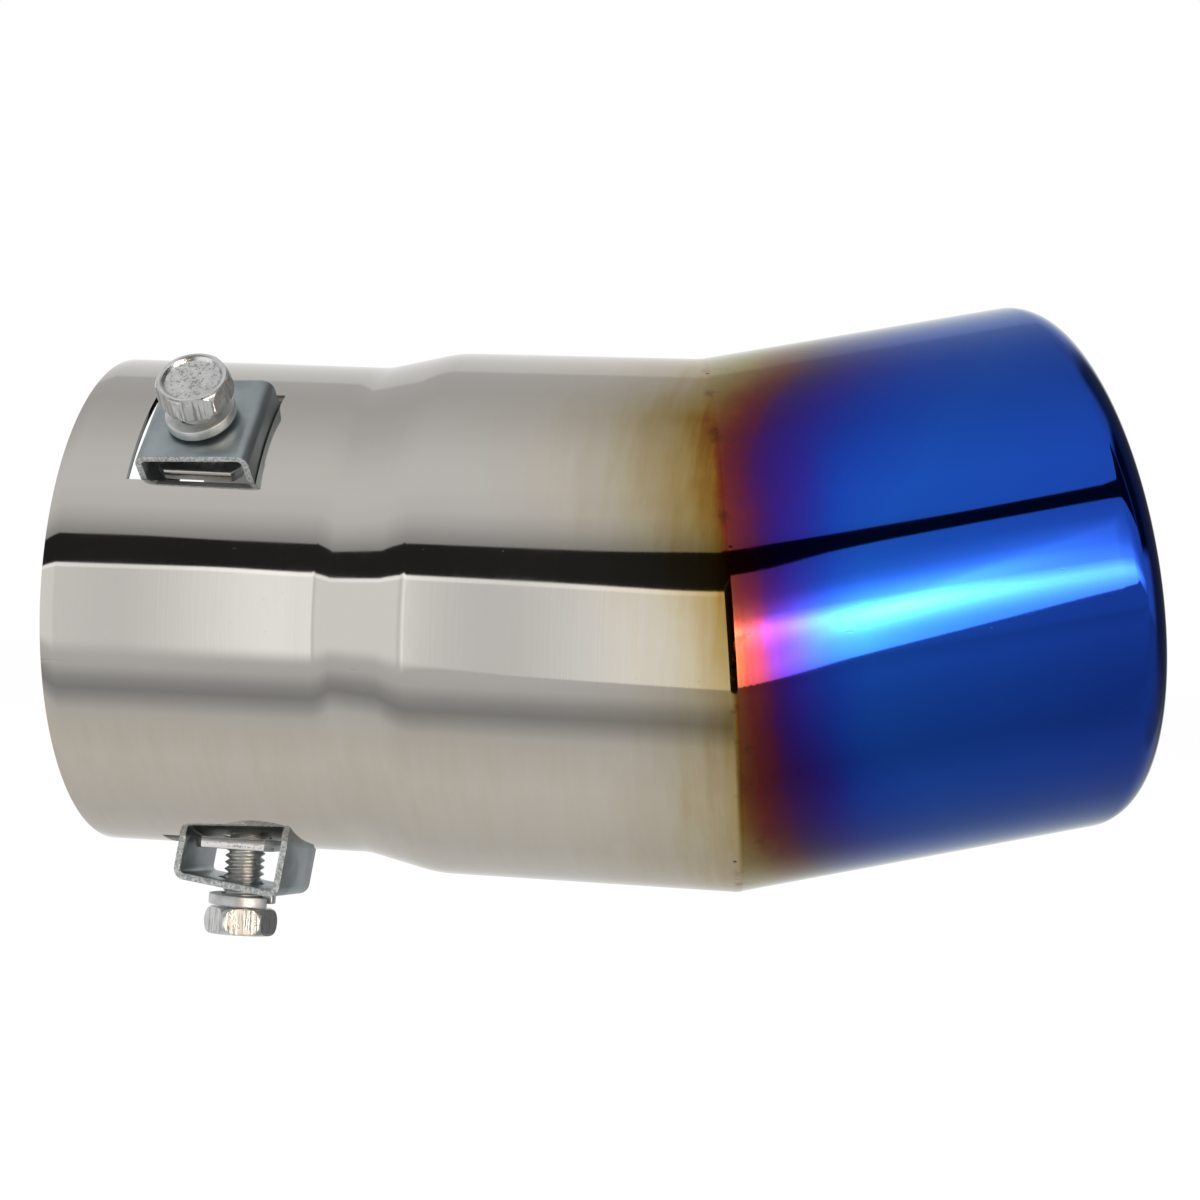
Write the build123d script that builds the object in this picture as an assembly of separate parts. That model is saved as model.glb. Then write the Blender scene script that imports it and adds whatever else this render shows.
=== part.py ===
"""Angled exhaust tip: two polished tubes welded at a mitre, three loose bolt clamps round the inlet."""
from build123d import *
from math import cos, radians, sin, sqrt
import os

# Millimetres, origin at the centre of the inlet end, +X along the inlet tube to the outlet, +Z up

# Inlet tube
inlet_diameter = 72.0
neck_taper = 0.5
neck_diameter = inlet_diameter - neck_taper
body_diameter = 76.3
mitre_growth = 0.2
mitre_diameter = body_diameter + mitre_growth
wall = 1.0
neck_length = 39.8
flare_length = 10.5
neck_blend_radius = 12.0
body_blend_radius = 18.0
inlet_axis_length = 89.1

# Outlet tube, which leans to the back and up from the inlet's axis
outlet_growth = 0.9
outlet_diameter = mitre_diameter + outlet_growth
outlet_axis_length = 54.0
bend_angle = 23.7
bend_heading = 58.8
rim_radius = 5.2
rim_curl = 205.0

# Weld round the mitre
weld_width = 1.0
weld_crown = 0.12

# Slots for the clamps
slot_centre = 19.4
slot_length = 18.6
slot_width = 17.7
slot_corner_radius = 0.4
punch_depth = 18.0

# Folded channel bracket, with the ears that hold it in its slot
sheet = 1.0
bracket_width = 16.4
bracket_length = 15.4
bracket_height = 13.0
bracket_bend_radius = 1.7
ear_span = 22.0
ear_height = 2.4
ear_corner_radius = 0.8
bolt_hole_diameter = 7.0

# Hexagon bolt
head_sides = 6
thread_diameter = 5.9
bolt_length = 12.0
bolt_tip_chamfer = 0.6
head_across_flats = 10.0
head_round_diameter = 10.6
head_height = 4.0
head_face_diameter = 9.0
head_seat_diameter = 9.6
head_chamfer_height = 0.8
head_seat_chamfer = 0.5
dish_diameter = 7.6
dish_depth = 0.35

# Split lock washer
washer_outer_diameter = 9.9
washer_bore = 6.4
washer_thickness = 1.6
washer_twist = 0.7
washer_gap_angle = 12.0

# Nut plate between the bracket's legs
plate_length = 12.0
plate_width = 13.0
plate_thickness = 1.8
plate_corner_chamfer = 1.2

# Fits, and the length of the drills that make the bolt holes
thread_clearance = 0.05
seat_clearance = 0.15
drill_length = 8.0

# How each clamp rests in its slot, all angles in degrees: the slot's place round the tube from up
# towards the front, the height of the bracket's web over the tube (none where it hangs by its ears),
# the side of the slot that it leans against, and its tip along the tube. Then the bolt's lean and
# turn on the web, its shift in the web's hole, its head's height over the washer, the turn of the
# washer's split, whether the washer lies on the head, and the nut plate's drop below the web.
clamp_rests = {
    "upper": dict(
        angle=47.5, lift=3.45, side=-1, tip=-2.5, bolt_lean=3.5, bolt_turn=-5.0, bolt_shift=(0.2, -0.35),
        head_gap=1.6, washer_turn=60.0, washer_on_head=False, plate_drop=2.6,
    ),
    "lower": dict(
        angle=175.6, lift=None, side=-1, tip=-7.5, bolt_lean=7.0, bolt_turn=3.0, bolt_shift=(0.4, 0.0),
        head_gap=0.5, washer_turn=239.0, washer_on_head=True, plate_drop=4.7,
    ),
    "rear": dict(
        angle=291.5, lift=3.45, side=1, tip=0.0, bolt_lean=0.0, bolt_turn=17.0, bolt_shift=(0.0, 0.0),
        head_gap=0.1, washer_turn=200.0, washer_on_head=False, plate_drop=3.0,
    ),
}


def point_round(angle, radius):
    """A point's Y and Z at an angle from up towards the front."""
    return -radius * sin(radians(angle)), radius * cos(radians(angle))


# Frames of the two tubes and of the mitre between them
outlet_direction = Vector(
    cos(radians(bend_angle)),
    sin(radians(bend_angle)) * sin(radians(bend_heading)),
    sin(radians(bend_angle)) * cos(radians(bend_heading)),
)
mitre_centre = Vector(inlet_axis_length, 0, 0)
inlet_frame = Plane(origin=(0, 0, 0), x_dir=(0, 0, 1), z_dir=(1, 0, 0))
outlet_frame = Plane(origin=mitre_centre, x_dir=(0, 1, 0), z_dir=outlet_direction)
mitre_direction = (Vector(1, 0, 0) + outlet_direction).normalized()
# A tube is drawn this far past the mitre before it is cut there
mitre_margin = 4.0
mitre_overrun = mitre_diameter / 2 * sin(radians(bend_angle / 2)) + mitre_margin


def mitre_plane(offset):
    """The plane of the mitre, moved along the tubes by an offset, its X on the long side of the cut."""
    long_side = outlet_direction - Vector(1, 0, 0)
    return Plane(
        origin=mitre_centre + mitre_direction * offset, x_dir=long_side, z_dir=mitre_direction
    )


def inlet_skin(inset):
    """The solid inside the inlet tube's outer surface, or inside its bore when inset by the wall."""
    length = inlet_axis_length + mitre_overrun
    with BuildSketch(Plane.XZ) as half_section:
        with BuildLine():
            outline = FilletPolyline(
                (inlet_diameter / 2 - inset, 0),
                (neck_diameter / 2 - inset, neck_length),
                (body_diameter / 2 - inset, neck_length + flare_length),
                (mitre_diameter / 2 - inset, length),
                radius=[neck_blend_radius, body_blend_radius],
            )
            Polyline(outline @ 1, (0, length), (0, 0), outline @ 0)
        make_face()
    return inlet_frame.location * revolve(half_section.sketch, Axis.Z)


def outlet_skin(inset):
    """The solid inside the outlet tube's outer surface, up to the widest ring of its rolled edge."""
    ring_height = outlet_axis_length - rim_radius
    slope = (outlet_diameter - mitre_diameter) / 2 / ring_height
    with BuildSketch(Plane.XZ) as half_section:
        with BuildLine():
            Polyline(
                (0, -mitre_overrun),
                (mitre_diameter / 2 - inset - slope * mitre_overrun, -mitre_overrun),
                (outlet_diameter / 2 - inset, ring_height),
                (0, ring_height),
                close=True,
            )
        make_face()
    return outlet_frame.location * revolve(half_section.sketch, Axis.Z)


def rolled_rim():
    """The outlet's edge, rolled inwards in one curl."""
    curl_radius = rim_radius - wall / 2
    centre = (outlet_diameter / 2 - rim_radius, outlet_axis_length - rim_radius)
    with BuildSketch(Plane.XZ) as section:
        with BuildLine():
            outer = CenterArc(centre, rim_radius, 0, rim_curl)
            inner = CenterArc(centre, rim_radius - wall, 0, rim_curl)
            Line(outer @ 0, inner @ 0)
            ThreePointArc(outer @ 1, arc_tip(centre, curl_radius), inner @ 1)
        make_face()
    return outlet_frame.location * revolve(section.sketch, Axis.Z)


def arc_tip(centre, curl_radius):
    """The end of the curl's rounded lip."""
    end = radians(rim_curl)
    reach = wall / 2
    return (
        centre[0] + curl_radius * cos(end) - reach * sin(end),
        centre[1] + curl_radius * sin(end) + reach * cos(end),
    )


def slot_radius():
    """The tube's outer radius at the middle of the slots."""
    share = slot_centre / neck_length
    return (inlet_diameter + (neck_diameter - inlet_diameter) * share) / 2


def slot_frame(angle):
    """A slot's own frame on the tube: X along the tube, Z out of it."""
    y, z = point_round(angle, slot_radius())
    out_y, out_z = point_round(angle, 1)
    return Plane(origin=(slot_centre, y, z), x_dir=(1, 0, 0), z_dir=(0, out_y, out_z))


def slot_cutter(angle):
    """The punch that opens one slot."""
    opening = RectangleRounded(slot_length, slot_width, slot_corner_radius)
    return slot_frame(angle).location * extrude(opening, punch_depth / 2, both=True)


def build_inlet_tube():
    """The inlet tube with its slots, cut at the mitre."""
    tube = inlet_skin(0) - inlet_skin(wall)
    tube = split(tube, bisect_by=mitre_plane(-weld_width / 2), keep=Keep.BOTTOM)
    for rest in clamp_rests.values():
        tube -= slot_cutter(rest["angle"])
    return tube


def build_outlet_tube():
    """The outlet tube with its rolled edge, cut at the mitre."""
    tube = outlet_skin(0) - outlet_skin(wall)
    tube = split(tube, bisect_by=mitre_plane(weld_width / 2), keep=Keep.TOP)
    return tube + rolled_rim()


def build_weld():
    """The weld metal between the two cut ends, a little proud of both walls."""
    stretch = 1 / cos(radians(bend_angle / 2))
    outer = mitre_diameter / 2 + weld_crown
    inner = mitre_diameter / 2 - wall - weld_crown
    band = Ellipse(outer * stretch, outer) - Ellipse(inner * stretch, inner)
    return extrude(mitre_plane(0) * band, weld_width / 2, both=True)


def build_bracket():
    """The channel bracket, its web's outer face at the origin and its legs pointing down."""
    with BuildSketch(Plane.XZ) as section:
        with BuildLine():
            left = -bracket_width / 2
            outer = FilletPolyline(
                (left, -bracket_height), (left, 0), (-left, 0), (-left, -bracket_height),
                radius=bracket_bend_radius,
            )
            inner = FilletPolyline(
                (left + sheet, -bracket_height), (left + sheet, -sheet),
                (-left - sheet, -sheet), (-left - sheet, -bracket_height),
                radius=bracket_bend_radius - sheet,
            )
            Line(outer @ 0, inner @ 0)
            Line(outer @ 1, inner @ 1)
        make_face()
    channel = extrude(section.sketch, ear_span / 2, both=True)
    with BuildSketch(Plane.YZ) as leg_outline:
        with Locations((0, -bracket_height / 2)):
            Rectangle(bracket_length, bracket_height)
        with Locations((0, -bracket_height + ear_height / 2)):
            RectangleRounded(ear_span, ear_height, ear_corner_radius)
    channel = channel & extrude(leg_outline.sketch, bracket_width, both=True)
    return channel - Cylinder(bolt_hole_diameter / 2, drill_length)


def build_bolt():
    """The hexagon bolt, its seat at the origin and its head above."""
    outline = RegularPolygon(
        head_across_flats / 2, head_sides, major_radius=False, rotation=180 / head_sides
    )
    hexagon = extrude(outline, head_height)
    with BuildSketch(Plane.XZ) as half_section:
        with BuildLine():
            Polyline(
                (0, 0),
                (head_seat_diameter / 2, 0),
                (head_round_diameter / 2, head_seat_chamfer),
                (head_round_diameter / 2, head_height - head_chamfer_height),
                (head_face_diameter / 2, head_height),
                (dish_diameter / 2 + dish_depth, head_height),
                (dish_diameter / 2, head_height - dish_depth),
                (0, head_height - dish_depth),
                close=True,
            )
        make_face()
    head = hexagon & revolve(half_section.sketch, Axis.Z)
    shank = Pos(0, 0, -bolt_length / 2) * Cylinder(thread_diameter / 2, bolt_length)
    shank = chamfer(shank.edges().sort_by(Axis.Z)[0], bolt_tip_chamfer)
    return head + shank


def build_lock_washer():
    """The split spring washer, its lower face at the origin, twisted up by one end."""
    mean_radius = (washer_outer_diameter + washer_bore) / 4
    band = (washer_outer_diameter - washer_bore) / 2
    share = 1 - washer_gap_angle / 360
    path = Helix(pitch=washer_twist / share, height=washer_twist, radius=mean_radius)
    start = Plane(origin=path @ 0, x_dir=(1, 0, 0), z_dir=path % 0)
    turn = sweep(start * Rectangle(band, washer_thickness), path=path, is_frenet=True)
    return Pos(0, 0, washer_thickness / 2) * turn


def build_nut_plate():
    """The nut plate, its upper face at the origin."""
    plate = Pos(0, 0, -plate_thickness / 2) * Box(plate_length, plate_width, plate_thickness)
    plate = chamfer(plate.edges().filter_by(Axis.Z), plate_corner_chamfer)
    return plate - Cylinder(thread_diameter / 2 + thread_clearance, drill_length)


def hung_lift(rest):
    """The web's height over the tube when the bracket's ears catch under the wall."""
    bore_radius = slot_radius() - wall
    ear_reach = ear_span / 2 + slot_play()
    wall_drop = slot_radius() - sqrt(bore_radius**2 - ear_reach**2)
    tip_rise = bracket_width / 2 * sin(radians(abs(rest["tip"])))
    return bracket_height - ear_height - wall_drop - tip_rise - seat_clearance


def slot_play():
    """How far a bracket moves round the tube, from the middle of its slot to the side."""
    return (slot_width - bracket_length) / 2 - seat_clearance


def web_location(rest):
    """Where a bracket's web lies, with its leg against the end of the slot nearest the outlet."""
    lift = rest["lift"]
    if lift is None:
        lift = hung_lift(rest)
    tip = radians(abs(rest["tip"]))
    side_drop = slot_radius() - sqrt(slot_radius() ** 2 - (slot_width / 2) ** 2)
    leg_reach = bracket_width / 2 * cos(tip) + (lift + wall + side_drop) * sin(tip)
    along = slot_length / 2 - seat_clearance - leg_reach
    place = Location((along, rest["side"] * slot_play(), lift), (0, rest["tip"], 0))
    return slot_frame(rest["angle"]).location * place


def build_clamp(name, rest):
    """The four pieces of one clamp, placed in its slot."""
    web = web_location(rest)
    bolt_axis = web * Location((*rest["bolt_shift"], 0), (0, rest["bolt_lean"], 0))
    washer_height = washer_thickness + washer_twist
    seat = bolt_axis * Pos(0, 0, washer_height + seat_clearance + rest["head_gap"])
    split = Rot(0, 0, rest["washer_turn"])
    if rest["washer_on_head"]:
        washer_place = seat * Pos(0, 0, -seat_clearance / 2) * Rot(180, 0, 0)
    else:
        washer_place = web * Pos(*rest["bolt_shift"], seat_clearance)
    return {
        name + "_bracket": web * build_bracket(),
        name + "_lock_washer": washer_place * split * build_lock_washer(),
        name + "_bolt": seat * Rot(0, 0, rest["bolt_turn"]) * build_bolt(),
        name + "_nut_plate": bolt_axis * Pos(0, 0, -sheet - rest["plate_drop"]) * build_nut_plate(),
    }


pieces = {
    "inlet_tube": build_inlet_tube(),
    "outlet_tube": build_outlet_tube(),
    "mitre_weld": build_weld(),
}
for clamp_name, clamp_rest in clamp_rests.items():
    pieces.update(build_clamp(clamp_name, clamp_rest))

os.makedirs("parts", exist_ok=True)
for node, solid in pieces.items():
    export_step(solid, f"parts/{node}.step")
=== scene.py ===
"""Dressed model of an angled exhaust tip, its bolt clamps and the studio round it."""

import math

import bmesh
import bpy
from bpy.props import FloatProperty, FloatVectorProperty, IntProperty, PointerProperty
from mathutils import Matrix, Vector


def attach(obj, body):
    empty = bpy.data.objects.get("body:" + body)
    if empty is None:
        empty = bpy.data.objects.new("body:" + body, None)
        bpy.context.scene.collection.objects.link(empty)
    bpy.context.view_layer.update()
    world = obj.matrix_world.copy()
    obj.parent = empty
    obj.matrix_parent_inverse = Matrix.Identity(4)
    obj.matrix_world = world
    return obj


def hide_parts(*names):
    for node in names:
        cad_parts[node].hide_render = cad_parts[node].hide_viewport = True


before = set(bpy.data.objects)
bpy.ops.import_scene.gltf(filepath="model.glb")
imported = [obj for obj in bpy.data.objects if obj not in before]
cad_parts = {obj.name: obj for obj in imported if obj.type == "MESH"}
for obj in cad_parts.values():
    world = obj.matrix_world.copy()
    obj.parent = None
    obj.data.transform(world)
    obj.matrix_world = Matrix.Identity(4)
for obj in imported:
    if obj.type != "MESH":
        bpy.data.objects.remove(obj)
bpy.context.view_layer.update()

bl_info = {
    "name": "Exhaust Tip Dressing",
    "version": (1, 0, 0),
    "blender": (4, 5, 0),
    "location": "View3D > Sidebar > Exhaust Tip",
    "description": "Dresses an angled exhaust tip with polished and heat-tinted steel and its clamp hardware",
    "category": "Object",
}

MM = 0.001
# How each clamp sits in its slot: the slot's angle round the inlet from up towards the viewer, the bolt's
# lean along the tube and the turn of its flats, in degrees. Then the bolt's seat along, round and out of
# the slot and the nut plate's drop below that seat, in millimetres. A split washer that winds the other way
# from its solid is mirrored in a line across the bolt, that many degrees from the line along the tube.
CLAMPS = {
    "upper": dict(
        angle=47.5, lean=1.0, flats=-15.0, seat=(0.9858, -1.35, 7.3862), plate_drop=7.65, washer_mirror=None
    ),
    "lower": dict(
        angle=175.6, lean=-0.5, flats=10.0, seat=(0.2999, -1.0, 9.1306), plate_drop=8.65, washer_mirror=72.0
    ),
    "rear": dict(
        angle=291.5, lean=0.0, flats=0.0, seat=(0.95, 1.0, 5.8782), plate_drop=6.55, washer_mirror=None
    ),
}
# The bolt head's barrel from its seat up to its dished face, as out and up in millimetres
HEAD_LINE = (
    (0, 0), (4.6, 0), (4.95, 0.25), (5.2, 0.7), (5.37, 1.4), (5.41, 2.1), (5.34, 2.9), (5.17, 3.45),
    (4.95, 3.8), (4.7, 3.98), (4.4, 4.0), (4.2, 3.88), (3.85, 3.45), (3.7, 3.4), (0, 3.4),
)
# One turn of thread, as shares of the pitch and of the way from root to crest
THREAD_LINE = ((0.0, 1.0), (0.07, 1.0), (0.44, 0.0), (0.56, 0.0), (0.93, 1.0), (1.0, 1.0))
# Faces that meet at more than this stay sharp, on most pieces and on the bolts
SHARP = math.radians(28)
BOLT_SHARP = math.radians(16)
# The weld's crease is rounded this share past the cuts that give the weld its width
WELD_REACH = 1.02


def millimetres(name, description, default):
    """A length that the user sees in millimetres and the script reads in metres."""
    return FloatProperty(name=name, description=description, default=default * MM, unit="LENGTH", precision=5)


def degrees(name, description, default):
    """An angle that the user sees in degrees and the script reads in radians."""
    return FloatProperty(name=name, description=description, default=math.radians(default), subtype="ANGLE")


def colour(name, description, default):
    """A colour that the user can pick."""
    return FloatVectorProperty(
        name=name, description=description, default=default, size=3, subtype="COLOR", min=0.0, max=1.0
    )


def count(name, description, default, least):
    """A whole number of faces."""
    return IntProperty(name=name, description=description, default=default, min=least)


def vector(name, description, default, subtype):
    """A place or a direction."""
    return FloatVectorProperty(
        name=name, description=description, default=default, size=3, subtype=subtype, precision=5
    )


class TubeSizes(bpy.types.PropertyGroup):
    """Sizes of the two tubes, the step between them and the weld."""

    inlet_diameter: millimetres("Inlet diameter", "Outside of the inlet's open end", 72.0)
    neck_diameter: millimetres("Neck diameter", "Outside of the neck just before the step", 71.5)
    body_diameter: millimetres("Body diameter", "Outside of the body just after the step", 76.3)
    mitre_diameter: millimetres("Mitre diameter", "Outside of both tubes at the mitre", 76.5)
    outlet_diameter: millimetres("Outlet diameter", "Outside of the outlet at its rolled rim", 77.4)
    wall: millimetres("Wall", "Thickness of the sheet", 1.0)
    neck_length: millimetres("Neck length", "From the inlet's end to the step", 39.8)
    flare_length: millimetres("Step length", "Length of the slope between neck and body", 10.5)
    neck_blend: millimetres("Neck blend", "Radius where the neck meets the slope", 12.0)
    body_blend: millimetres("Body blend", "Radius where the slope meets the body", 18.0)
    inlet_length: millimetres("Inlet length", "Along the axis, from the open end to the mitre", 89.1)
    outlet_length: millimetres("Outlet length", "Along the axis, from the mitre to the rim", 54.0)
    bend: degrees("Bend", "Angle between the two tubes", 23.7)
    heading: degrees("Bend heading", "Side that the outlet leans to, from up towards the back", 58.8)
    rim_radius: millimetres("Rim radius", "Radius of the rolled rim", 5.2)
    rim_curl: degrees("Rim curl", "How far the rim is rolled over", 205.0)
    overrun: millimetres("Overrun", "How far a tube is drawn past the mitre before it is cut", 11.8)
    edge_break: millimetres("Edge break", "Width of the broken edge on the cut sheet", 0.12)
    slot_centre: millimetres("Slot centre", "From the inlet's end to the middle of the slots", 19.4)
    slot_length: millimetres("Slot length", "Along the tube", 18.6)
    slot_width: millimetres("Slot width", "Round the tube", 17.7)
    weld_width: millimetres("Weld width", "Across the seam", 1.0)
    ring_step: millimetres("Ring step", "Length between two rings of the mesh", 2.0)
    turn_steps: count("Turn steps", "Faces round a tube", 320, 48)
    neck_steps: count("Neck steps", "Faces along the neck's blend", 14, 4)
    body_steps: count("Body steps", "Faces along the body's blend", 20, 4)
    rim_steps: count("Rim steps", "Faces along the rolled rim", 36, 12)
    lip_steps: count("Lip steps", "Faces round the sheet's rounded edge", 6, 2)
    weld_steps: count("Weld steps", "Faces across the weld", 8, 2)


class HardwareSizes(bpy.types.PropertyGroup):
    """Sizes of the clamps' bolts and broken edges."""

    across_flats: millimetres("Across flats", "Width of the bolt heads", 9.42)
    bolt_length: millimetres("Bolt length", "From the head's seat to the tip", 12.0)
    plain_length: millimetres("Plain length", "Unthreaded neck under the head", 0.9)
    tip_length: millimetres("Tip length", "Chamfered tip of the thread", 0.8)
    thread_crest: millimetres("Thread crest", "Radius over the threads", 2.93)
    thread_root: millimetres("Thread root", "Radius at the bottom of the threads", 2.36)
    thread_pitch: millimetres("Thread pitch", "From crest to crest", 1.0)
    edge_break: millimetres("Edge break", "Width of the brackets' and nut plates' rounded edges", 0.16)
    washer_break: millimetres("Washer edge break", "Width of the split washers' rounded edges", 0.35)
    head_steps: count("Head steps", "Faces round a bolt head", 120, 24)
    turn_steps: count("Turn steps", "Faces round a thread", 40, 12)


class Finishes(bpy.types.PropertyGroup):
    """Colours of the metals."""

    inside: colour("Inner steel", "Unpolished inner walls", (0.4, 0.38, 0.35))
    # Rim tint: painted dark reflection, a near-black purple laid over the heat tint on the rolled rim's front
    # so that its grazing edge stays dark
    rim: colour("Rim tint", "Last of the heat tint, on the rolled rim", (0.035, 0.01, 0.1))
    oxide: colour("Weld oxide", "Dark oxide beside the weld", (0.05, 0.02, 0.012))
    # Pit: painted shade, the near-black colour of the weld's pin-holes, which are only a dent in the relief
    pit_shade: colour("Pit", "Bottom of the pin-holes in the weld", (0.02, 0.012, 0.01))
    zinc: colour("Zinc plate", "Dull plate on the brackets", (0.42, 0.47, 0.49))
    cut_zinc: colour("Cut zinc plate", "Plate on the brackets' sheared edges", (0.82, 0.84, 0.84))
    bright_zinc: colour("Bright zinc plate", "Plate on the bolts and washers", (0.84, 0.85, 0.84))
    rubbed: colour("Rubbed plate", "Marks where a tool has rubbed the heads", (0.24, 0.24, 0.22))
    sheared: colour("Sheared edge", "Bare burnished edge of a nut plate", (0.8, 0.78, 0.75))
    torn: colour("Torn edge", "Dark flecks in the sheared edge", (0.2, 0.19, 0.18))


class StudioSettings(bpy.types.PropertyGroup):
    """The camera, the floor and the light."""

    camera_place: vector(
        "Camera place", "Where the camera stands", (0.140342, -0.371912, 0.005762), "TRANSLATION"
    )
    camera_aim: vector("Camera aim", "The way the camera looks", (-0.18204, 0.98326, -0.007736), "DIRECTION")
    camera_up: vector("Camera up", "The way up in the picture", (-0.042456, 0.0, 0.999098), "DIRECTION")
    lens: FloatProperty(name="Lens", description="Focal length in millimetres", default=77.74)
    sensor: FloatProperty(name="Sensor", description="Width of the sensor in millimetres", default=36.0)
    nearest: millimetres("Nearest", "Nearest distance that the camera shows", 10.0)
    floor_middle: millimetres("Floor middle", "How far along the inlet the floor is centred", 75.0)
    floor_drop: millimetres("Floor drop", "From the inlet's axis down to the floor", 110.0)
    floor_size: millimetres("Floor size", "Across the floor", 6000.0)
    floor_glow: FloatProperty(name="Floor glow", description="Share of white the camera sees", default=0.9)
    pale: colour("Floor colour", "Colour of the floor", (0.92, 0.92, 0.92))
    lamp_place: vector("Lamp place", "Where the overhead lamp hangs", (0.07, -0.1, 0.9), "TRANSLATION")
    lamp_length: millimetres("Lamp length", "Along the tube", 900.0)
    lamp_width: millimetres("Lamp width", "Across the tube", 700.0)
    lamp_power: FloatProperty(name="Lamp power", description="Power in watts", default=6.0)


# Shader helper


class Wire:
    """One output in a node tree. Sums and products of it add their Math nodes."""

    def __init__(self, tree, socket):
        self.tree = tree
        self.socket = socket

    def node(self, kind, settings=None, values=None, output=0):
        """Adds a node of a type, with its settings first and then its sockets, and gives one output."""
        node = self.tree.nodes.new(kind)
        for name, value in (settings or {}).items():
            if name == "stops":
                elements = node.color_ramp.elements
                while len(elements) < len(value):
                    elements.new(0.5)
                for element, (place, shade) in zip(elements, value):
                    element.position = place
                    element.color = (*shade, 1.0) if isinstance(shade, tuple) else (shade, shade, shade, 1.0)
            else:
                setattr(node, name, value)
        for name, value in (values or {}).items():
            if isinstance(value, Wire):
                self.tree.links.new(value.socket, node.inputs[name])
            else:
                node.inputs[name].default_value = value
        return Wire(self.tree, node.outputs[output])

    def math(self, operation, *values):
        """A Math node on numbers or wires."""
        return self.node("ShaderNodeMath", {"operation": operation}, dict(enumerate(values)))

    def vector_math(self, operation, other, output="Vector"):
        """A Vector Math node on this vector and a fixed one."""
        return self.node("ShaderNodeVectorMath", {"operation": operation}, {0: self, 1: tuple(other)}, output)

    def __add__(self, other):
        return self.math("ADD", self, other)

    def __radd__(self, other):
        return self.math("ADD", other, self)

    def __sub__(self, other):
        return self.math("SUBTRACT", self, other)

    def __rsub__(self, other):
        return self.math("SUBTRACT", other, self)

    def __mul__(self, other):
        return self.math("MULTIPLY", self, other)

    def __rmul__(self, other):
        return self.math("MULTIPLY", other, self)

    def __truediv__(self, other):
        return self.math("DIVIDE", self, other)

    def __neg__(self):
        return self.math("MULTIPLY", self, -1.0)

    def step(self, low, high):
        """Goes smoothly from 0 at low to 1 at high."""
        return self.node(
            "ShaderNodeMapRange", {"interpolation_type": "SMOOTHSTEP"},
            {"Value": self, "From Min": low, "From Max": high, "To Min": 0.0, "To Max": 1.0},
        )

    def dot(self, direction):
        """The length of a vector along a fixed direction."""
        return self.vector_math("DOT_PRODUCT", direction, "Value")

    def away_from(self, point):
        """How far a place is from a point."""
        return self.vector_math("DISTANCE", point, "Value")

    def axes(self):
        """The three numbers of a vector."""
        node = self.tree.nodes.new("ShaderNodeSeparateXYZ")
        self.tree.links.new(self.socket, node.inputs[0])
        return [Wire(self.tree, socket) for socket in node.outputs]

    def noise(self, scale, detail=3.0, roughness=0.55):
        """Noise read at a vector, with one scale or one for each axis."""
        place = self
        if isinstance(scale, tuple):
            place, scale = self.vector_math("MULTIPLY", scale), 1.0
        values = {"Vector": place, "Scale": scale, "Detail": detail, "Roughness": roughness}
        return self.node("ShaderNodeTexNoise", None, values, "Fac")

    def ramp(self, points):
        """A colour ramp through points, at this value."""
        low, high = points[0][0], points[-1][0]
        stops = [((place - low) / (high - low), shade) for place, shade in points]
        return self.node("ShaderNodeValToRGB", {"stops": stops}, {"Fac": (self - low) / (high - low)})

    def curve(self, points):
        """The value of a line through points, at this value."""
        floor, top = min(value for _, value in points), max(value for _, value in points)
        shares = [(place, (value - floor) / (top - floor)) for place, value in points]
        return self.ramp(shares) * (top - floor) + floor

    def attribute(self, name, output):
        """A value that is stored on the piece's mesh."""
        return self.node("ShaderNodeAttribute", {"attribute_name": name}, None, output)


def laid_over(level, mask, other):
    """A number with another laid over it where a mask is 1."""
    return level * (1 - mask) + other * mask


def mix_colour(factor, first, second):
    """A colour between two, by a factor."""
    node = factor.tree.nodes.new("ShaderNodeMix")
    node.data_type = "RGBA"
    sockets = (node.inputs["Factor"], node.inputs[6], node.inputs[7])
    for socket, value in zip(sockets, (factor, first, second)):
        if isinstance(value, Wire):
            factor.tree.links.new(value.socket, socket)
        else:
            socket.default_value = (*value, 1.0)
    return Wire(factor.tree, node.outputs[2])


def dimmed(shade, share):
    """A colour at a share of its brightness."""
    return tuple(share * part for part in shade)


def new_metal(name):
    """A bare metal: its material, its shader and the object's coordinates."""
    material = bpy.data.materials.new(name)
    material.use_nodes = True
    tree = material.node_tree
    shader = tree.nodes["Principled BSDF"]
    shader.inputs["Metallic"].default_value = 1.0
    return material, shader, Wire(tree, tree.nodes.new("ShaderNodeTexCoord").outputs["Object"])


def dress(shader, shade, roughness, height, strength, depth):
    """Gives a shader its colour, its roughness and its relief."""
    normal = height.node("ShaderNodeBump", None, {"Height": height, "Strength": strength, "Distance": depth})
    for socket, wire in (("Base Color", shade), ("Roughness", roughness), ("Normal", normal)):
        wire.tree.links.new(wire.socket, shader.inputs[socket])


# Places and directions


def outlet_direction(tube):
    """The way that the outlet points."""
    return Vector((
        math.cos(tube.bend),
        math.sin(tube.bend) * math.sin(tube.heading),
        math.sin(tube.bend) * math.cos(tube.heading),
    ))


def mitre_normal(tube):
    """The way across the mitre, from the inlet to the outlet."""
    return (Vector((1, 0, 0)) + outlet_direction(tube)).normalized()


def mitre_centre(tube):
    """Where the two axes meet."""
    return Vector((tube.inlet_length, 0, 0))


def frame_matrix(origin, x_axis, z_axis):
    """A place with its own X and Z."""
    z_axis = Vector(z_axis).normalized()
    x_axis = Vector(x_axis)
    x_axis = (x_axis - z_axis * x_axis.dot(z_axis)).normalized()
    y_axis = z_axis.cross(x_axis)
    turn = Matrix((x_axis, y_axis, z_axis)).transposed().to_4x4()
    return Matrix.Translation(Vector(origin)) @ turn


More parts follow.
